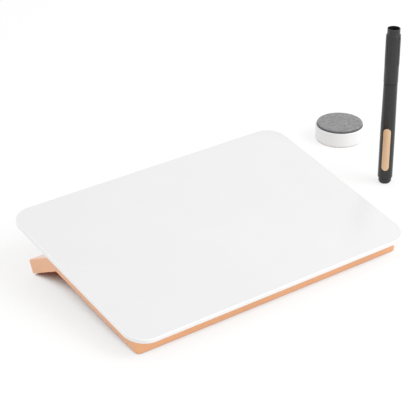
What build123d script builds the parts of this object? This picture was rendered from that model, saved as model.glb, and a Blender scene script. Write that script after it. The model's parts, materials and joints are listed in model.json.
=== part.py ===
from build123d import *
import math
import os

# Desktop glass whiteboard on a folded sheet-metal stand, with its marker and round eraser.
# Millimetres and degrees. +X runs along the board's long side, +Y away from the user, +Z up.
# The origin is the middle of the front grip strip's underside, on the desk.

# Writing panel
board_width = 254.0
board_depth = 169.0
glass_thickness = 4.0
glass_corner_radius = 16.5
glass_arris = 0.6
coating_thickness = 0.2
coating_margin = 1.2
tilt = 10.0

# Bonding tape between panel and stand
tape_thickness = 0.6
tape_width = 12.0
tape_margin = 5.0
tape_break = 4.0

# Folded stand
side_inset = 6.0
front_inset = 8.0
plate_length = 106.0
flange_depth = 11.0
leg_slope = 27.6
sheet = 1.5
bend_radius = 1.5
front_corner_radius = 4.0
leg_corner_radius = 1.7
return_depth = 12.0
return_relief = 26.0
return_end_angle = 60.0

# Grip strips under the two return flanges
strip_thickness = 0.9
strip_width = 8.0
strip_inset = 2.0
strip_end_margin = 6.0

# Marker
marker_from_side = 66.1
marker_from_front = 98.4
barrel_radius = 6.15
barrel_top_radius = 5.71
barrel_wall = 0.95
barrel_foot = 4.7
barrel_length = 84.3
barrel_taper_length = 52.0
barrel_foot_round = 0.7
insert_gap = 0.05
plug_foot_radius = 4.65
plug_foot_height = 1.7
plug_foot_round = 0.7
plug_rim_radius = 5.35
plug_insert = 8.0
reservoir_gap = 0.45
nib_radius = 1.8
nib_socket = 9.0
nib_exposed = 5.5
nib_tip_round = 1.2
nib_gap = 0.05
holder_insert = 9.0
collar_radius = 5.5
collar_height = 1.0
snout_radius = 4.7
snout_length = 15.0
cone_length = 5.0
cone_tip_radius = 2.9

# Cap: its tube, sloped shoulder and narrower crown, and the flat grip ribs round it
cap_radius = 5.9
cap_bore_gap = 0.2
cap_seat_gap = 0.2
cap_length = 46.5
cap_foot_round = 0.3
shoulder_height = 1.4
crown_height = 4.2
crown_radius = 5.2
crown_bore_radius = 4.75
crown_bore_depth = 13.0
cap_web = 1.2
grip_rib_count = 6
grip_rib_turn = 49.5
grip_rib_width = 2.1
grip_rib_height = 0.25
grip_rib_foot = 15.0
grip_rib_top = 5.8
grip_rib_point = 1.8
seal_wall = 1.1
seal_gap = 0.25
seal_fit = 0.05

# Eraser
eraser_from_side = 92.0
eraser_from_front = 185.0
eraser_radius = 21.2
eraser_height = 13.35
eraser_foot_round = 1.6
eraser_rim_round = 0.5
rim_wall = 0.9
seat_width = 1.6
shell_floor = 2.0
pad_proud = 2.3
pad_thickness = 4.5
pad_round = 0.9
pad_gap = 0.1
backing_thickness = 1.0
magnet_radius = 7.5
magnet_height = 3.0
magnet_gap = 0.1
boss_wall = 1.4
rib_count = 6
rib_thickness = 1.2

# Straight steps that make up a turned piece's rounded edges, under a millimetre and above
fine_steps = 1
broad_steps = 2

# Height given to cutters where they run out of a solid, and how near counts as the same place
overrun = 10.0
same_place = 0.001


def along(point, angle, distance):
    """The side-view point at a distance from another, in a direction in degrees."""
    turn = math.radians(angle)
    return (point[0] + distance * math.cos(turn), point[1] + distance * math.sin(turn))


def meet(first, first_angle, second, second_angle):
    """The side-view point where two lines cross, each a point and a direction."""
    a = math.radians(first_angle)
    b = math.radians(second_angle)
    across = math.cos(a) * math.sin(b) - math.sin(a) * math.cos(b)
    gap_y = second[0] - first[0]
    gap_z = second[1] - first[1]
    reach = (gap_y * math.sin(b) - gap_z * math.cos(b)) / across
    return along(first, first_angle, reach)


# Side view of the stand: (Y, Z) of the outline that both side flanges share
half_width = board_width / 2 - side_inset
lip_y = -(strip_inset + strip_width / 2)
lip_foot = (lip_y, strip_thickness)
lip_top = along(lip_foot, 90, flange_depth / math.cos(math.radians(tilt)))
bend_top = along(lip_top, tilt, plate_length)
half_bend = (tilt + leg_slope) / 2
bend_under = along(
    bend_top,
    (tilt - leg_slope) / 2 - 90,
    flange_depth / math.cos(math.radians(half_bend)),
)
leg_length = (bend_under[1] - strip_thickness) / math.sin(math.radians(leg_slope))
leg_foot = along(bend_under, -leg_slope, leg_length)
leg_top = along(leg_foot, 90 - leg_slope, flange_depth)

# The plane of the stand's plate, and the plane of the glass underside above it
plate_plane = Plane(
    origin=(0, lip_top[0], lip_top[1]),
    x_dir=(1, 0, 0),
    z_dir=(0, -math.sin(math.radians(tilt)), math.cos(math.radians(tilt))),
)
glass_gap = coating_thickness + tape_thickness
overhang = front_inset / math.cos(math.radians(tilt)) - glass_gap * math.tan(math.radians(tilt))
glass_plane = plate_plane * Location((0, board_depth / 2 - overhang, glass_gap))
glass_front_y = lip_y - front_inset

# The corners of the two return flanges, and the rear strip's centre line
return_half = half_width - sheet - return_relief
rear_strip_y = leg_foot[0] - strip_inset - strip_width / 2

# Marker heights
marker_place = Pos(board_width / 2 + marker_from_side, glass_front_y + marker_from_front, 0)
barrel_bore = barrel_top_radius - barrel_wall
barrel_top = barrel_foot + barrel_length
plug_top = barrel_foot + plug_insert
reservoir_foot = plug_top
reservoir_top = barrel_top - holder_insert
collar_top = barrel_top + collar_height
snout_top = collar_top + snout_length
cone_top = snout_top + cone_length
nib_tip = cone_top + nib_exposed
cap_foot = collar_top + cap_seat_gap
cap_top = cap_foot + cap_length
crown_foot = cap_top - crown_height
crown_floor = cap_top - crown_bore_depth
cap_bore = snout_radius + cap_bore_gap
web_foot = crown_floor - cap_web

# Eraser heights
eraser_place = Pos(board_width / 2 + eraser_from_side, glass_front_y + eraser_from_front, 0)
pad_top = eraser_height + pad_proud
pad_foot = pad_top - pad_thickness
seat_height = pad_foot - backing_thickness
rim_radius = eraser_radius - rim_wall
cavity_radius = rim_radius - seat_width
pad_radius = rim_radius - pad_gap


def prism(outline, half_length):
    """A side-view outline drawn out along X to both sides."""
    face = make_face(Plane.YZ * Polyline([*outline, outline[0]]))
    return extrude(face, amount=half_length, both=True)


def off_line(point, line):
    """A point's side-view distance from a line, which is given as a point and a direction."""
    (y, z), angle = line
    turn = math.radians(angle)
    return (point.Z - z) * math.cos(turn) - (point.Y - y) * math.sin(turn)


def lies_on(edge, line):
    """Whether an edge's ends and middle lie on a side-view line."""
    return all(abs(off_line(edge.position_at(share), line)) < same_place for share in (0, 0.5, 1))


def edges_on(shape, lines):
    """The edges of a shape that lie on one of the side-view lines."""
    return [e for e in shape.edges() if any(lies_on(e, line) for line in lines)]


def corners_on(shape, line):
    """The edges on a side-view line that keep to one X, where two walls meet."""
    edges = edges_on(shape, [line])
    return [e for e in edges if abs(e.position_at(0).X - e.position_at(1).X) < same_place]


def turned(outline):
    """A (radius, height) outline turned about the Z axis."""
    return revolve(make_face(Plane.XZ * Polyline([*outline, outline[0]])), Axis.Z)


def ring(outer, inner, foot, top):
    """A plain tube standing on the Z axis."""
    return turned([(inner, foot), (outer, foot), (outer, top), (inner, top)])


def quarter_turn(centre, radius, start, steps):
    """Outline points of a quarter circle, counter-clockwise from an angle, in straight steps."""
    return [along(centre, start + 90 * step / steps, radius) for step in range(steps + 1)]


def foot_round(radius, height, size, steps=fine_steps):
    """Outline points of a turned piece's rounded outer edge at its foot."""
    return quarter_turn((radius - size, height + size), size, -90, steps)


def top_round(radius, height, size, steps=fine_steps):
    """Outline points of a turned piece's rounded outer edge at its top."""
    return quarter_turn((radius - size, height - size), size, 0, steps)


def glass_panel():
    """Tempered glass with round corners and flat polished edges, their arrises ground off."""
    outline = RectangleRounded(board_width, board_depth, glass_corner_radius)
    panel = extrude(outline, glass_thickness)
    rims = panel.faces().sort_by(Axis.Z)
    panel = chamfer(rims[-1].edges() + rims[0].edges(), glass_arris)
    return glass_plane * panel


def back_coating():
    """The white layer fired on the underside of the glass, just short of its edges."""
    outline = RectangleRounded(
        board_width - 2 * coating_margin,
        board_depth - 2 * coating_margin,
        glass_corner_radius - coating_margin,
    )
    return glass_plane * extrude(outline, -coating_thickness)


def mounting_tape():
    """Four strips of foam tape around the border of the stand's flat plate."""
    left = half_width - bend_radius - tape_margin - tape_width / 2
    near = bend_radius + tape_margin + tape_width / 2
    far = plate_length - bend_radius - tape_margin - tape_width / 2
    long_strip = Box(
        2 * left + tape_width,
        tape_width,
        tape_thickness,
        align=(Align.CENTER, Align.CENTER, Align.MIN),
    )
    side_length = far - near - tape_width - 2 * tape_break
    side_strip = Box(
        tape_width,
        side_length,
        tape_thickness,
        align=(Align.CENTER, Align.CENTER, Align.MIN),
    )
    strips = [Pos(0, y, 0) * long_strip for y in (near, far)]
    strips += [Pos(x, (near + far) / 2, 0) * side_strip for x in (-left, left)]
    return Compound(children=[plate_plane * strip for strip in strips])


def tray_form(outline, half_length, inset):
    """The stand's outer or inner form, with its upright corners rounded."""
    form = prism(outline, half_length)
    form = fillet(corners_on(form, (outline[1], 90)), front_corner_radius - inset)
    return fillet(corners_on(form, (outline[3], 90 - leg_slope)), leg_corner_radius - inset)


def return_flange(fold_y, free_y):
    """A flange folded in flat over its grip strip, its ends cut back at an angle."""
    cut = abs(free_y - fold_y) / math.tan(math.radians(return_end_angle))
    outline = [
        (-return_half, fold_y),
        (return_half, fold_y),
        (return_half - cut, free_y),
        (cut - return_half, free_y),
    ]
    face = make_face(Polyline([*outline, outline[0]]))
    return Pos(0, 0, strip_thickness) * extrude(face, sheet, dir=(0, 0, 1))


def stand():
    """A shallow tray folded from one sheet, its rear third bent down as the leg."""
    outer = [lip_foot, lip_top, bend_top, leg_top, leg_foot, bend_under]
    plate_under = along(lip_top, tilt - 90, sheet)
    leg_under = along(bend_top, -leg_slope - 90, sheet)
    end_inside = along(leg_top, 180 - leg_slope, sheet)
    hollow = [
        (lip_y + sheet, -overrun),
        meet((lip_y + sheet, 0), 90, plate_under, tilt),
        meet(plate_under, tilt, leg_under, -leg_slope),
        meet(leg_under, -leg_slope, end_inside, -leg_slope - 90),
        meet(end_inside, -leg_slope - 90, (0, -overrun), 0),
    ]
    tray = tray_form(outer, half_width, 0)
    tray = fillet(edges_on(tray, [(lip_top, tilt), (bend_top, -leg_slope)]), bend_radius)
    tray -= tray_form(hollow, half_width - sheet, sheet)
    tray += return_flange(lip_y + sheet / 2, lip_y + return_depth)
    tray += return_flange(leg_foot[0] - sheet / 2, leg_foot[0] - return_depth)
    return tray


def grip_strip(centre_y):
    """A thin silicone strip with round ends, bonded under a return flange."""
    length = 2 * (return_half - strip_end_margin)
    return Pos(0, centre_y, 0) * extrude(SlotOverall(length, strip_width), strip_thickness)


def marker_barrel():
    """The tube that holds the ink reservoir, tapered towards the cap."""
    return marker_place * turned([
        (barrel_bore, barrel_foot),
        *foot_round(barrel_radius, barrel_foot, barrel_foot_round),
        (barrel_radius, barrel_top - barrel_taper_length),
        (barrel_top_radius, barrel_top),
        (barrel_bore, barrel_top),
    ])


def marker_end_plug():
    """The plug that closes the barrel's lower end: a foot, a wider rim and an insert."""
    insert_radius = barrel_bore - insert_gap
    return marker_place * turned([
        (0, 0),
        *foot_round(plug_foot_radius, 0, plug_foot_round),
        (plug_foot_radius, plug_foot_height),
        (plug_rim_radius, plug_foot_height),
        (plug_rim_radius, barrel_foot),
        (insert_radius, barrel_foot),
        (insert_radius, plug_top),
        (0, plug_top),
    ])


def ink_reservoir():
    """The fibre stick that holds the ink, with a socket for the nib's tail."""
    stick = Cylinder(
        barrel_bore - reservoir_gap,
        reservoir_top - reservoir_foot,
        align=(Align.CENTER, Align.CENTER, Align.MIN),
    )
    socket = Cylinder(
        nib_radius + nib_gap,
        nib_socket,
        align=(Align.CENTER, Align.CENTER, Align.MAX),
    )
    stick = Pos(0, 0, reservoir_foot) * stick
    return marker_place * (stick - Pos(0, 0, reservoir_top) * socket)


def nib_holder():
    """The front section: insert, collar, sealing snout and cone, bored for the nib."""
    insert_radius = barrel_bore - insert_gap
    bore = nib_radius + nib_gap
    return marker_place * turned([
        (bore, reservoir_top),
        (insert_radius, reservoir_top),
        (insert_radius, barrel_top),
        (collar_radius, barrel_top),
        (collar_radius, collar_top),
        (snout_radius, collar_top),
        (snout_radius, snout_top),
        (cone_tip_radius, cone_top),
        (bore, cone_top),
    ])


def marker_nib():
    """The bullet nib, from its socket in the reservoir to its round tip."""
    foot = reservoir_top - nib_socket
    tip = top_round(nib_radius, nib_tip, nib_tip_round)
    return marker_place * turned([(0, foot), (nib_radius, foot), *tip, (0, nib_tip)])


def grip_rib():
    """One flat rib of the cap's grip, pointed at both ends and rooted in the wall."""
    foot = cap_foot + grip_rib_foot
    top = cap_top - grip_rib_top
    side = grip_rib_width / 2
    outline = [
        (0, foot),
        (side, foot + grip_rib_point),
        (side, top - grip_rib_point),
        (0, top),
        (-side, top - grip_rib_point),
        (-side, foot + grip_rib_point),
    ]
    root = (cap_radius + cap_bore) / 2
    face = Plane.YZ * make_face(Polyline([*outline, outline[0]]))
    return Pos(root, 0, 0) * extrude(face, cap_radius + grip_rib_height - root)


def marker_cap():
    """The cap, closed by a web under its open crown, with ribs round its grip."""
    cap = turned([
        (cap_bore, cap_foot),
        *foot_round(cap_radius, cap_foot, cap_foot_round),
        (cap_radius, crown_foot - shoulder_height),
        (crown_radius, crown_foot),
        (crown_radius, cap_top),
        (crown_bore_radius, cap_top),
        (crown_bore_radius, crown_floor),
        (0, crown_floor),
        (0, web_foot),
        (cap_bore, web_foot),
    ])
    rib = grip_rib()
    for turn in range(grip_rib_count):
        cap += Rot(0, 0, grip_rib_turn + turn * 360 / grip_rib_count) * rib
    return marker_place * cap


def cap_inner_seal():
    """The soft cup inside the cap that closes over the nib holder's cone."""
    outer = cap_bore - seal_fit
    inner = outer - seal_wall
    cone_angle = math.atan2(snout_radius - cone_tip_radius, cone_length)
    mouth_height = snout_top + (snout_radius - inner) / math.tan(cone_angle)
    mouth = mouth_height + seal_gap / math.sin(cone_angle)
    return marker_place * turned([
        (inner, mouth),
        (outer, mouth),
        (outer, web_foot),
        (0, web_foot),
        (0, web_foot - seal_wall),
        (inner, web_foot - seal_wall),
    ])


def eraser_shell():
    """A round moulded cup with a pad seat, a magnet boss and radial ribs inside."""
    cup = turned([
        (0, 0),
        *foot_round(eraser_radius, 0, eraser_foot_round, broad_steps),
        *top_round(eraser_radius, eraser_height, eraser_rim_round),
        (rim_radius, eraser_height),
        (rim_radius, seat_height),
        (cavity_radius, seat_height),
        (cavity_radius, shell_floor),
        (0, shell_floor),
    ])
    pocket = magnet_radius + magnet_gap
    boss = ring(pocket + boss_wall, pocket, shell_floor, seat_height)
    rib_length = cavity_radius - pocket
    rib = Box(
        rib_length,
        rib_thickness,
        seat_height - shell_floor,
        align=(Align.MIN, Align.CENTER, Align.MIN),
    )
    rib = Pos(pocket + boss_wall / 2, 0, shell_floor) * rib
    cup += boss
    for turn in range(rib_count):
        cup += Rot(0, 0, turn * 360 / rib_count) * rib
    return eraser_place * cup


def eraser_magnet():
    """The disc magnet in the shell's boss."""
    disc = Cylinder(magnet_radius, magnet_height, align=(Align.CENTER, Align.CENTER, Align.MIN))
    return eraser_place * Pos(0, 0, shell_floor) * disc


def eraser_backing():
    """The foam disc that glues the felt to the shell's seat."""
    disc = Cylinder(pad_radius, backing_thickness, align=(Align.CENTER, Align.CENTER, Align.MIN))
    return eraser_place * Pos(0, 0, seat_height) * disc


def eraser_felt():
    """The felt pad, standing proud of the rim with a rounded edge."""
    edge = top_round(pad_radius, pad_top, pad_round)
    return eraser_place * turned([(0, pad_foot), (pad_radius, pad_foot), *edge, (0, pad_top)])


parts = {
    "glass_panel": glass_panel(),
    "back_coating": back_coating(),
    "mounting_tape": mounting_tape(),
    "folded_stand": stand(),
    "front_grip_strip": grip_strip(0),
    "rear_grip_strip": grip_strip(rear_strip_y),
    "marker_barrel": marker_barrel(),
    "marker_end_plug": marker_end_plug(),
    "ink_reservoir": ink_reservoir(),
    "nib_holder": nib_holder(),
    "marker_nib": marker_nib(),
    "marker_cap": marker_cap(),
    "cap_inner_seal": cap_inner_seal(),
    "eraser_shell": eraser_shell(),
    "eraser_magnet": eraser_magnet(),
    "eraser_backing": eraser_backing(),
    "eraser_felt": eraser_felt(),
}

os.makedirs("parts", exist_ok=True)
for node, shape in parts.items():
    export_step(shape, f"parts/{node}.step")
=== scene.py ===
import json
import math
import random

import bpy
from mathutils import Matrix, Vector, noise

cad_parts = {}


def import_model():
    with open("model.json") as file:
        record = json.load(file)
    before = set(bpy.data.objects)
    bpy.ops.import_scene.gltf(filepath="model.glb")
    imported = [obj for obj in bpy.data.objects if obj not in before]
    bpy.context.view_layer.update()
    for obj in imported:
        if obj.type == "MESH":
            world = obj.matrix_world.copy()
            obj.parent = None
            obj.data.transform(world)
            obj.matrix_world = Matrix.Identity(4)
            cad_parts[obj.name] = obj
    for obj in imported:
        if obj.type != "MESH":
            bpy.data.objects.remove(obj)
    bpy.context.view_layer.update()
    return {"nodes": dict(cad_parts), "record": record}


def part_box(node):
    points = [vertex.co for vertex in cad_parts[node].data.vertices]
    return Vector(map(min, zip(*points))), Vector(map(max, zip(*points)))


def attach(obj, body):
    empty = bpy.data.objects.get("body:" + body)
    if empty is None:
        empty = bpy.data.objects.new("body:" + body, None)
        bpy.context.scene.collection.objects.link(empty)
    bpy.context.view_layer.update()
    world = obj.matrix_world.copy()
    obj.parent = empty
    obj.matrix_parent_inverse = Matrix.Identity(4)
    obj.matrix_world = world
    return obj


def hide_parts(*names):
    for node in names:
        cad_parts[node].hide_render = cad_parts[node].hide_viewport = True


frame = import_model()
MM = 0.001

# The way that the glass faces, from the mount on it
writing_face = next(m for m in frame["record"]["mounts"] if m["name"] == "writing_face")
PANEL_NORMAL = tuple(writing_face["axis"])

# Camera, from the perspective of the panel's edges in the photograph
CAMERA_PLACE = Vector((-606.7, -728.3, 581.2)) * MM
CAMERA_ELEVATION = 28.204
CAMERA_TURN = 37.105
FOCAL_PIXELS = 1520.9
IMAGE_WIDTH = 416
SENSOR_MM = 36.0

# Light: a broad soft lamp at the right front and an even world
WORLD_LIGHT = 0.85
LAMP_PLACE = Vector((0.78, -0.85, 1.2))
LAMP_AIM = Vector((0.05, 0.08, 0.0))
LAMP_SIZE = 1.0
LAMP_POWER = 12.0

# Floor: in the open it shows mostly its own white under a pale shadow, and under the stand only the
# light that it gets. There, to rays that show the background, its colour is a painted copper bounce. How
# far it is covered is taken a little to the lamp's side of straight up
FLOOR_HALF = 4.0
FLOOR_WHITE = (0.85, 0.85, 0.85)
FLOOR_PAINTED_COPPER_BOUNCE = (0.72, 0.42, 0.27)
FLOOR_SHADE = (0.29, 0.29, 0.29)
FLOOR_LIFT = 0.7
FLOOR_REACH = 90 * MM
FLOOR_LAMP_SIDE = (0, -0.24, 0.97)
FLOOR_COVERED = 0.16
FLOOR_OPEN = 0.36

# Colours, linear
GLASS_WHITE = (0.765, 0.765, 0.765)
# Painted light on the glass edges: paler than the face, with the short sides lighter than the long front
# and rear edges
GLASS_LONG_EDGE_PAINTED_LIGHT = (0.89, 0.895, 0.895)
GLASS_SHORT_EDGE_PAINTED_LIGHT = (0.98, 0.985, 0.985)
COATING_WHITE = (0.86, 0.86, 0.86)
TAPE_WHITE = (0.72, 0.72, 0.70)
COPPER = (0.87, 0.425, 0.195)
SILICONE_GREY = (0.34, 0.33, 0.32)
BLACK_PLASTIC = (0.017, 0.017, 0.018)
CAP_PLASTIC = (0.02, 0.02, 0.021)
GOLD_PRINT = (0.78, 0.53, 0.33)
INK_BLACK = (0.02, 0.02, 0.022)
NIB_BLACK = (0.012, 0.012, 0.013)
SEAL_WHITE = (0.66, 0.66, 0.64)
SHELL_WHITE = (0.88, 0.885, 0.885)
NICKEL = (0.62, 0.61, 0.58)
FOAM_BLACK = (0.05, 0.05, 0.052)
FELT_GREY = (0.26, 0.26, 0.265)

# Surfaces: the range that noise values mostly keep to, the grain of the drift in colour in
# features per metre, and how far the gloss varies either way
NOISE_RANGE = (0.3, 0.7)
DRIFT_GRAIN = 28.0
GLOSS_DRIFT = 0.08

# Glass: how squarely a spot faces the panel's way where edge turns into face, and the painted light
# round the edge, from 0 at the front by 0.5 at either side to 1 at the rear: paler than the face, and
# lightest at the sides
GLASS_FACE_TURN = (0.8, 0.95)
GLASS_EDGE_PAINTED_LIGHT_STOPS = ((0.1, GLASS_LONG_EDGE_PAINTED_LIGHT), (0.5, GLASS_SHORT_EDGE_PAINTED_LIGHT), (0.9, GLASS_LONG_EDGE_PAINTED_LIGHT))

# Silicone: its grip ridges, which this scale of the wave texture sets about 2 mm apart
RIDGE_SCALE = 160.0
RIDGE_DEPTH = 0.3 * MM

# Felt: fibres and clumps in features per metre, the shades at two heights of its relief, the painted
# shade on its side, and how squarely a spot faces up where the side turns into face
FELT_FIBRE_GRAIN = 1700.0
FELT_CLUMP_GRAIN = 330.0
FELT_CLUMP_SHARE = 0.45
FELT_SHADES = ((0.38, 0.74), (0.62, 1.34))
FELT_ROUGH = (0.9, 1.0)
FELT_RELIEF = 0.25 * MM
FELT_SIDE_PAINTED_SHADE = 0.5
FELT_FACE_TURN = (0.3, 0.75)

# The print on the barrel: a bare gold pill
PRINT_FOOT = 13.0 * MM
PRINT_TOP = 51.0 * MM
PRINT_WIDTH = 6.1 * MM
PRINT_TURN = 222.0
PRINT_FILM = 0.06 * MM
PRINT_ROWS = 60
PRINT_COLUMNS = 16

# The felt pad: its rounding, and its unevenness, a sum of waves in features per metre with shares
PAD_ROUND = 1.3 * MM
PAD_RELIEF = 0.16 * MM
PAD_WAVES = ((140.0, 0.45), (620.0, 0.35), (1900.0, 0.35))
PAD_SEGMENTS = 160
PAD_ROUND_STEPS = 6
PAD_RINGS = 44

# Loose fibres: each rises from a root just under the felt's face to a bend at half its length, and
# drops again to a tip. The roots stop short of the pad's side, and go lower on its rounding
FIBRE_SEED = 11
FIBRE_COUNT = 3200
FIBRE_LENGTH = 0.75 * MM
FIBRE_LENGTH_SHARES = (0.4, 1.0)
FIBRE_WIDTH = 0.05 * MM
FIBRE_LIFT = (0.12 * MM, 0.34 * MM)
FIBRE_TIP_LIFT_SHARES = (0.2, 0.9)
FIBRE_ROOT_DEPTH = 0.1 * MM
FIBRE_SIDE_GAP = 0.45 * PAD_ROUND
FIBRE_FALL_WIDTH = 0.55 * PAD_ROUND
FIBRE_FALL = 0.5

# How near counts as the same height or radius
SAME_PLACE = 0.01 * MM


def new_material(name):
    """A new material with its node tree and shader."""
    material = bpy.data.materials.new(name)
    material.use_nodes = True
    tree = material.node_tree
    return material, tree, tree.nodes["Principled BSDF"]


def noise_value(tree, grain, detail=3.0, stretch=(1, 1, 1)):
    """Noise over the piece's own coordinates, in features per metre."""
    place = tree.nodes.new("ShaderNodeTexCoord")
    mapping = tree.nodes.new("ShaderNodeMapping")
    mapping.inputs["Scale"].default_value = stretch
    texture = tree.nodes.new("ShaderNodeTexNoise")
    texture.inputs["Scale"].default_value = grain
    texture.inputs["Detail"].default_value = detail
    tree.links.new(place.outputs["Object"], mapping.inputs["Vector"])
    tree.links.new(mapping.outputs["Vector"], texture.inputs["Vector"])
    return texture.outputs["Fac"]


def map_range(tree, value, before, after=(0.0, 1.0), kind="LINEAR"):
    """A value moved from one range to another and kept within it."""
    mapped = tree.nodes.new("ShaderNodeMapRange")
    mapped.interpolation_type = kind
    mapped.inputs["From Min"].default_value, mapped.inputs["From Max"].default_value = before
    mapped.inputs["To Min"].default_value, mapped.inputs["To Max"].default_value = after
    tree.links.new(value, mapped.inputs["Value"])
    return mapped.outputs["Result"]


def soft_step(tree, value, turn):
    """0 below a range of values and 1 above it, with a soft start and end."""
    return map_range(tree, value, turn, kind="SMOOTHSTEP")


def combined(tree, operation, first, second):
    """Two values put together by a math operation."""
    maths = tree.nodes.new("ShaderNodeMath")
    maths.operation = operation
    tree.links.new(first, maths.inputs[0])
    tree.links.new(second, maths.inputs[1])
    return maths.outputs["Value"]


def scaled(colour, factor):
    """A colour made darker or lighter."""
    return tuple(c * factor for c in colour)


def colour_ramp(tree, value, stops):
    """A colour that follows a value through (position, colour) stops."""
    ramp = tree.nodes.new("ShaderNodeValToRGB")
    elements = ramp.color_ramp.elements
    while len(elements) < len(stops):
        elements.new(0.5)
    for element, (position, colour) in zip(elements, stops):
        element.position = position
        element.color = (*[min(1, c) for c in colour], 1)
    tree.links.new(value, ramp.inputs["Fac"])
    return ramp.outputs["Color"]


def typed(sockets, name, kind):
    """The one socket of a name and a kind, on a node that has the name for several kinds."""
    return next(s for s in sockets if s.name == name and s.type == kind)


def mix_colours(tree, share, first, second):
    """Two colours, outputs or constants, mixed by a share."""
    mixed = tree.nodes.new("ShaderNodeMix")
    mixed.data_type = "RGBA"
    tree.links.new(share, mixed.inputs["Factor"])
    for name, colour in (("A", first), ("B", second)):
        socket = typed(mixed.inputs, name, "RGBA")
        if isinstance(colour, tuple):
            socket.default_value = (*colour, 1)
        else:
            tree.links.new(colour, socket)
    return typed(mixed.outputs, "Result", "RGBA")


def mix_values(tree, share, first, second):
    """Two values mixed by a fixed share."""
    mixed = tree.nodes.new("ShaderNodeMix")
    mixed.inputs["Factor"].default_value = share
    tree.links.new(first, typed(mixed.inputs, "A", "VALUE"))
    tree.links.new(second, typed(mixed.inputs, "B", "VALUE"))
    return typed(mixed.outputs, "Result", "VALUE")


def facing(tree, direction):
    """How far the surface faces a fixed direction, from -1 to 1."""
    geometry = tree.nodes.new("ShaderNodeNewGeometry")
    dot = tree.nodes.new("ShaderNodeVectorMath")
    dot.operation = "DOT_PRODUCT"
    dot.inputs[1].default_value = direction
    tree.links.new(geometry.outputs["Normal"], dot.inputs[0])
    return dot.outputs["Value"]


def add_bump(tree, shader, height, depth):
    """Surface relief of a depth in metres from a height value, in place of any before it."""
    bump = tree.nodes.new("ShaderNodeBump")
    bump.inputs["Distance"].default_value = depth
    tree.links.new(height, bump.inputs["Height"])
    tree.links.new(bump.outputs["Normal"], shader.inputs["Normal"])


def surface(name, colour, rough, grain, relief, drift=0.04, metallic=0.0, stretch=(1, 1, 1)):
    """A material with drifting colour, uneven gloss and fine relief, with its tree and shader."""
    material, tree, shader = new_material(name)
    shader.inputs["Metallic"].default_value = metallic
    broad = noise_value(tree, DRIFT_GRAIN)
    fine = noise_value(tree, grain, detail=4.0, stretch=stretch)
    shades = (scaled(colour, 1 - drift), scaled(colour, 1 + drift))
    drifting = colour_ramp(tree, broad, list(zip(NOISE_RANGE, shades)))
    gloss = (rough * (1 - GLOSS_DRIFT), rough * (1 + GLOSS_DRIFT))
    tree.links.new(drifting, shader.inputs["Base Color"])
    tree.links.new(map_range(tree, fine, NOISE_RANGE, gloss), shader.inputs["Roughness"])
    add_bump(tree, shader, fine, relief)
    return material, tree, shader


def plain(name, colour, **finish):
    """The material alone, where a surface needs nothing more."""
    return surface(name, colour, **finish)[0]


def white_glass():
    """Low-iron glass over its white coating: a plain face, and painted light round its edge, paler than
    the face and lightest at the sides.
    """
    material, tree, shader = surface(
        "white_glass", GLASS_WHITE, rough=0.2, grain=60.0, relief=0.002 * MM, drift=0.008
    )
    face = shader.inputs["Base Color"].links[0].from_socket
    squarely = soft_step(tree, facing(tree, PANEL_NORMAL), GLASS_FACE_TURN)
    rearward = soft_step(tree, facing(tree, (0, 1, 0)), (-1, 1))
    # Painted light: the edge colours follow which way the edge faces
    painted_edge_light = colour_ramp(tree, rearward, GLASS_EDGE_PAINTED_LIGHT_STOPS)
    tree.links.new(mix_colours(tree, squarely, painted_edge_light, face), shader.inputs["Base Color"])
    return material


def copper_paint():
    """Satin copper-coloured metallic paint with a fine powder-coat relief."""
    material, tree, shader = surface(
        "copper_paint",
        COPPER,
        rough=0.36,
        grain=2600.0,
        relief=0.012 * MM,
        drift=0.03,
        metallic=0.55,
    )
    shader.inputs["Coat Weight"].default_value = 1.0
    shader.inputs["Coat Roughness"].default_value = 0.25
    shader.inputs["Coat IOR"].default_value = 1.6
    return material


def moulded_plastic(name, colour):
    """Satin moulded plastic."""
    return plain(name, colour, rough=0.22, grain=1500.0, relief=0.008 * MM, drift=0.06)


def gold_print():
    """Gold foil print with faint streaks along the barrel."""
    return plain(
        "gold_print",
        GOLD_PRINT,
        rough=0.34,
        grain=1500.0,
        relief=0.003 * MM,
        drift=0.06,
        metallic=0.35,
        stretch=(1, 1, 0.04),
    )


def silicone():
    """Grey silicone with moulded grip ridges across the strip, which take the fine relief's place."""
    material, tree, shader = surface(
        "silicone", SILICONE_GREY, rough=0.6, grain=1200.0, relief=0.02 * MM
    )
    place = tree.nodes.new("ShaderNodeTexCoord")
    ridges = tree.nodes.new("ShaderNodeTexWave")
    ridges.inputs["Scale"].default_value = RIDGE_SCALE
    tree.links.new(place.outputs["Object"], ridges.inputs["Vector"])
    add_bump(tree, shader, ridges.outputs["Fac"], RIDGE_DEPTH)
    return material


def felt():
    """Needled grey felt: mottled fibres with fuzzy relief, and painted shade round the cut edge."""
    material, tree, shader = new_material("grey_felt")
    shader.inputs["Specular IOR Level"].default_value = 0.15
    shader.inputs["Sheen Weight"].default_value = 0.2
    fibres = noise_value(tree, FELT_FIBRE_GRAIN, detail=5.0)
    clumps = noise_value(tree, FELT_CLUMP_GRAIN)
    height = mix_values(tree, FELT_CLUMP_SHARE, fibres, clumps)
    stops = [(value, scaled(FELT_GREY, shade)) for value, shade in FELT_SHADES]
    face = colour_ramp(tree, height, stops)
    upward = soft_step(tree, facing(tree, (0, 0, 1)), FELT_FACE_TURN)
    # Painted shade: the pad's side is darker than its face
    mottled_with_painted_shade = mix_colours(tree, upward, scaled(FELT_GREY, FELT_SIDE_PAINTED_SHADE), face)
    tree.links.new(mottled_with_painted_shade, shader.inputs["Base Color"])
    tree.links.new(map_range(tree, fibres, NOISE_RANGE, FELT_ROUGH), shader.inputs["Roughness"])
    add_bump(tree, shader, height, FELT_RELIEF)
    return material


def dress(node, material):
    """Gives a carried-over CAD node its material."""
    slots = frame["nodes"][node].data.materials
    slots.clear()
    slots.append(material)


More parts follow.
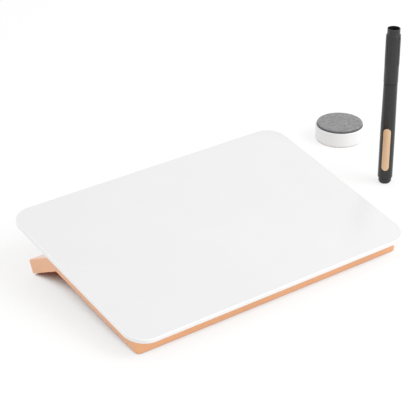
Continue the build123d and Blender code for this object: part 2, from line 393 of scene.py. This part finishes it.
def add_object(name, data):
    """A new object in the scene."""
    added = bpy.data.objects.new(name, data)
    bpy.context.scene.collection.objects.link(added)
    return added


def mesh_object(name, points, faces, material, smooth=True):
    """A new piece from points in the part's frame."""
    mesh = bpy.data.meshes.new(name)
    mesh.from_pydata(points, [], faces)
    mesh.materials.append(material)
    mesh.polygons.foreach_set("use_smooth", [smooth] * len(mesh.polygons))
    return add_object(name, mesh)


def grid_faces(rows, columns, closed=False):
    """Quads over points laid row by row. A closed grid joins each row's end to its start."""
    wide = columns if closed else columns + 1
    faces = []
    for row in range(rows):
        near = row * wide
        far = near + wide
        for column in range(columns):
            beside = (column + 1) % wide
            faces.append((near + column, near + beside, far + beside, far + column))
    return faces


def middle_of(node):
    """Where a turned node's vertical axis meets the floor."""
    low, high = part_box(node)
    return Vector(((low.x + high.x) / 2, (low.y + high.y) / 2, 0))


def around(axis, radius, angle, height):
    """A point at a radius, a direction in radians and a height about a vertical axis."""
    return axis + Vector((radius * math.cos(angle), radius * math.sin(angle), height))


def level(angle):
    """The level direction at an angle in radians."""
    return Vector((math.cos(angle), math.sin(angle), 0))


def barrel_outline():
    """The barrel's widest radius, the height where its taper starts, and its top's radius and height."""
    axis = middle_of("marker_barrel")
    corners = frame["nodes"]["marker_barrel"].data.vertices
    rings = [(corner.co.z, (corner.co.xy - axis.xy).length) for corner in corners]
    widest = max(radius for height, radius in rings)
    top = max(height for height, radius in rings)
    taper_foot = max(height for height, radius in rings if radius > widest - SAME_PLACE)
    top_radius = max(radius for height, radius in rings if height > top - SAME_PLACE)
    return widest, taper_foot, top_radius, top


def barrel_print():
    """The gold pill, laid on the barrel as a thin film."""
    axis = middle_of("marker_barrel")
    widest, taper_foot, top_radius, top = barrel_outline()
    end = PRINT_WIDTH / 2
    points = []
    for row in range(PRINT_ROWS + 1):
        # Rows close up towards the round ends
        share = (1 - math.cos(math.pi * row / PRINT_ROWS)) / 2
        height = PRINT_FOOT + share * (PRINT_TOP - PRINT_FOOT)
        into_end = max(PRINT_FOOT + end - height, height - (PRINT_TOP - end), 0)
        half = math.sqrt(max(end ** 2 - into_end ** 2, 0))
        taper = max(height - taper_foot, 0) / (top - taper_foot)
        radius = widest + taper * (top_radius - widest) + PRINT_FILM
        for column in range(PRINT_COLUMNS + 1):
            across = half * (2 * column / PRINT_COLUMNS - 1)
            angle = math.radians(PRINT_TURN) + math.asin(across / radius)
            points.append(around(axis, radius, angle, height))
    faces = grid_faces(PRINT_ROWS, PRINT_COLUMNS)
    film = mesh_object("barrel_print", points, faces, gold_print())
    thickness = film.modifiers.new("film", "SOLIDIFY")
    thickness.thickness = 2 * PRINT_FILM
    thickness.offset = -1
    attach(film, "marker")


def unevenness(point):
    """How far the felt stands out or in at a point: broad waves under finer clumps."""
    return PAD_RELIEF * sum(share * noise.noise(point * waves) for waves, share in PAD_WAVES)


def pad_profile(radius, foot, top):
    """The pad's outline from its hidden foot up the side, over the round edge and in to the middle."""
    profile = [(radius, foot), (radius, (foot + top - PAD_ROUND) / 2)]
    for step in range(PAD_ROUND_STEPS + 1):
        turn = math.pi / 2 * step / PAD_ROUND_STEPS
        inward = PAD_ROUND * (1 - math.cos(turn))
        down = PAD_ROUND * (1 - math.sin(turn))
        profile.append((radius - inward, top - down))
    flat = radius - PAD_ROUND
    profile += [(flat * (1 - ring / PAD_RINGS), top) for ring in range(1, PAD_RINGS)]
    return profile


def felt_point(axis, radius, angle, height, top):
    """A point of the pad, moved up or down on its face and only inwards on its side."""
    point = around(axis, radius, angle, height)
    rise = unevenness(point)
    lean = min(1, max(0, (height - (top - PAD_ROUND)) / PAD_ROUND))
    upward = rise * lean * Vector((0, 0, 1))
    inward = abs(rise) * (1 - lean) * level(angle)
    return point + upward - inward


def felt_pad(material):
    """The felt disc, uneven as needled felt is, closed underneath."""
    low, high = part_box("eraser_felt")
    axis = middle_of("eraser_felt")
    profile = pad_profile((high.x - low.x) / 2, low.z, high.z)
    angles = [2 * math.pi * segment / PAD_SEGMENTS for segment in range(PAD_SEGMENTS)]
    points = [
        felt_point(axis, radius, angle, height, high.z)
        for radius, height in profile
        for angle in angles
    ]
    last_ring = len(points) - PAD_SEGMENTS
    middle = len(points)
    points.append(around(axis, 0, 0, high.z))
    faces = grid_faces(len(profile) - 1, PAD_SEGMENTS, closed=True)
    for segment in range(PAD_SEGMENTS):
        beside = (segment + 1) % PAD_SEGMENTS
        faces.append((last_ring + segment, last_ring + beside, middle))
    faces.append(tuple(reversed(range(PAD_SEGMENTS))))
    pad = mesh_object("felt_pad", points, faces, material)
    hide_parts("eraser_felt")
    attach(pad, "eraser")


def felt_fibres(material):
    """Loose fibre ends that lie on the pad and stand a little out of its edge."""
    draw = random.Random(FIBRE_SEED)
    low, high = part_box("eraser_felt")
    axis = middle_of("eraser_felt")
    reach = (high.x - low.x) / 2 - FIBRE_SIDE_GAP
    points = []
    faces = []
    for fibre in range(FIBRE_COUNT):
        radius = reach * math.sqrt(draw.random())
        angle = draw.uniform(0, 2 * math.pi)
        fall = FIBRE_FALL * max(0, radius - (reach - FIBRE_FALL_WIDTH))
        root = around(axis, radius, angle, high.z - FIBRE_ROOT_DEPTH - fall)
        along = level(draw.uniform(0, 2 * math.pi))
        run = along * draw.uniform(*FIBRE_LENGTH_SHARES) * FIBRE_LENGTH
        lift = Vector((0, 0, draw.uniform(*FIBRE_LIFT)))
        side = Vector((-along.y, along.x, 0)) * FIBRE_WIDTH / 2
        bend = root + run / 2 + lift
        tip = root + run + lift * draw.uniform(*FIBRE_TIP_LIFT_SHARES)
        first = len(points)
        points += [root - side, root + side, bend + side, bend - side, tip]
        faces += [(first, first + 1, first + 2, first + 3), (first + 3, first + 2, first + 4)]
    fibres = mesh_object("felt_fibres", points, faces, material)
    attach(fibres, "eraser")


def shown_ray(tree):
    """1 for rays that show the background directly, in gloss or through glass."""
    path = tree.nodes.new("ShaderNodeLightPath")
    shown = path.outputs["Is Camera Ray"]
    for name in ("Is Glossy Ray", "Is Transmission Ray"):
        shown = combined(tree, "MAXIMUM", shown, path.outputs[name])
    return shown


def floor_openness(tree):
    """0 where the object covers the floor and 1 in the open."""
    lamp_side = tree.nodes.new("ShaderNodeCombineXYZ")
    for axis, part in zip("XYZ", FLOOR_LAMP_SIDE):
        lamp_side.inputs[axis].default_value = part
    cover = tree.nodes.new("ShaderNodeAmbientOcclusion")
    cover.inputs["Distance"].default_value = FLOOR_REACH
    tree.links.new(lamp_side.outputs["Vector"], cover.inputs["Normal"])
    return soft_step(tree, cover.outputs["AO"], (FLOOR_COVERED, FLOOR_OPEN))


def open_floor(tree):
    """The floor in the open: a pale shadow on its own white."""
    shade = tree.nodes.new("ShaderNodeBsdfDiffuse")
    shade.inputs["Color"].default_value = (*FLOOR_SHADE, 1)
    lift = tree.nodes.new("ShaderNodeEmission")
    lift.inputs["Strength"].default_value = FLOOR_LIFT
    both = tree.nodes.new("ShaderNodeAddShader")
    tree.links.new(shade.outputs["BSDF"], both.inputs[0])
    tree.links.new(lift.outputs["Emission"], both.inputs[1])
    return both.outputs["Shader"]


def floor_material():
    """The floor as it is lit, which shows white in the open to rays that see the background, and a
    painted copper bounce to them under the stand.
    """
    material, tree, lit = new_material("floor_white")
    shown = shown_ray(tree)
    lit.inputs["Roughness"].default_value = 1.0
    lit.inputs["Specular IOR Level"].default_value = 0.0
    # Painted copper bounce: rays that show the background see a warm base colour
    lit_colour_painted_bounce = mix_colours(tree, shown, FLOOR_WHITE, FLOOR_PAINTED_COPPER_BOUNCE)
    tree.links.new(lit_colour_painted_bounce, lit.inputs["Base Color"])
    either = tree.nodes.new("ShaderNodeMixShader")
    share = combined(tree, "MULTIPLY", shown, floor_openness(tree))
    tree.links.new(share, either.inputs["Fac"])
    tree.links.new(lit.outputs["BSDF"], either.inputs[1])
    tree.links.new(open_floor(tree), either.inputs[2])
    tree.links.new(either.outputs["Shader"], tree.nodes["Material Output"].inputs["Surface"])
    return material


def stage_floor():
    """A plain pale floor that keeps the object's shadow."""
    half = FLOOR_HALF
    corners = [(-half, -half, 0), (half, -half, 0), (half, half, 0), (-half, half, 0)]
    material = floor_material()
    mesh_object("floor", corners, [(0, 1, 2, 3)], material, smooth=False)


def world():
    """Soft even light; rays that show the background see plain white."""
    studio = bpy.data.worlds.new("studio")
    bpy.context.scene.world = studio
    studio.use_nodes = True
    tree = studio.node_tree
    background = tree.nodes["Background"]
    background.inputs["Color"].default_value = (1, 1, 1, 1)
    strength = map_range(tree, shown_ray(tree), (0, 1), (WORLD_LIGHT, 1.0))
    tree.links.new(strength, background.inputs["Strength"])


def lamp():
    """The square soft lamp."""
    data = bpy.data.lights.new("key", "AREA")
    data.size = LAMP_SIZE
    data.energy = LAMP_POWER
    key = add_object("key", data)
    key.location = LAMP_PLACE
    key.rotation_euler = (LAMP_AIM - LAMP_PLACE).to_track_quat("-Z", "Y").to_euler()


def camera():
    """The photograph's viewpoint: no roll and no shift."""
    data = bpy.data.cameras.new("camera")
    data.sensor_width = SENSOR_MM
    data.lens = SENSOR_MM * FOCAL_PIXELS / IMAGE_WIDTH
    view = add_object("camera", data)
    view.location = CAMERA_PLACE
    view.rotation_euler = (math.radians(90 - CAMERA_ELEVATION), 0, -math.radians(CAMERA_TURN))
    bpy.context.scene.camera = view


camera()
world()
stage_floor()
lamp()

felt_material = felt()
silicone_material = silicone()
dark_plastic = moulded_plastic("dark_plastic", BLACK_PLASTIC)
materials = {
    "glass_panel": white_glass(),
    "back_coating": plain(
        "white_coating", COATING_WHITE, rough=0.3, grain=900.0, relief=0.005 * MM, drift=0.01
    ),
    "mounting_tape": plain("foam_tape", TAPE_WHITE, rough=0.8, grain=2500.0, relief=0.06 * MM),
    "folded_stand": copper_paint(),
    "front_grip_strip": silicone_material,
    "rear_grip_strip": silicone_material,
    "marker_barrel": moulded_plastic("barrel_plastic", BLACK_PLASTIC),
    "marker_end_plug": dark_plastic,
    "ink_reservoir": plain(
        "ink_fibre", INK_BLACK, rough=0.7, grain=1800.0, relief=0.05 * MM, stretch=(1, 1, 0.05)
    ),
    "nib_holder": dark_plastic,
    "marker_nib": plain("nib_felt", NIB_BLACK, rough=0.85, grain=2600.0, relief=0.08 * MM),
    "marker_cap": moulded_plastic("cap_plastic", CAP_PLASTIC),
    "cap_inner_seal": plain(
        "seal_natural", SEAL_WHITE, rough=0.4, grain=900.0, relief=0.008 * MM
    ),
    "eraser_shell": plain(
        "shell_white", SHELL_WHITE, rough=0.3, grain=700.0, relief=0.004 * MM, drift=0.015
    ),
    "eraser_magnet": plain(
        "nickel_plate", NICKEL, rough=0.22, grain=1500.0, relief=0.004 * MM, metallic=1.0
    ),
    "eraser_backing": plain("closed_foam", FOAM_BLACK, rough=0.85, grain=2200.0, relief=0.1 * MM),
    "eraser_felt": felt_material,
}
for node, material in materials.items():
    dress(node, material)

barrel_print()
felt_pad(felt_material)
felt_fibres(felt_material)

bpy.context.scene.view_settings.view_transform = "Standard"
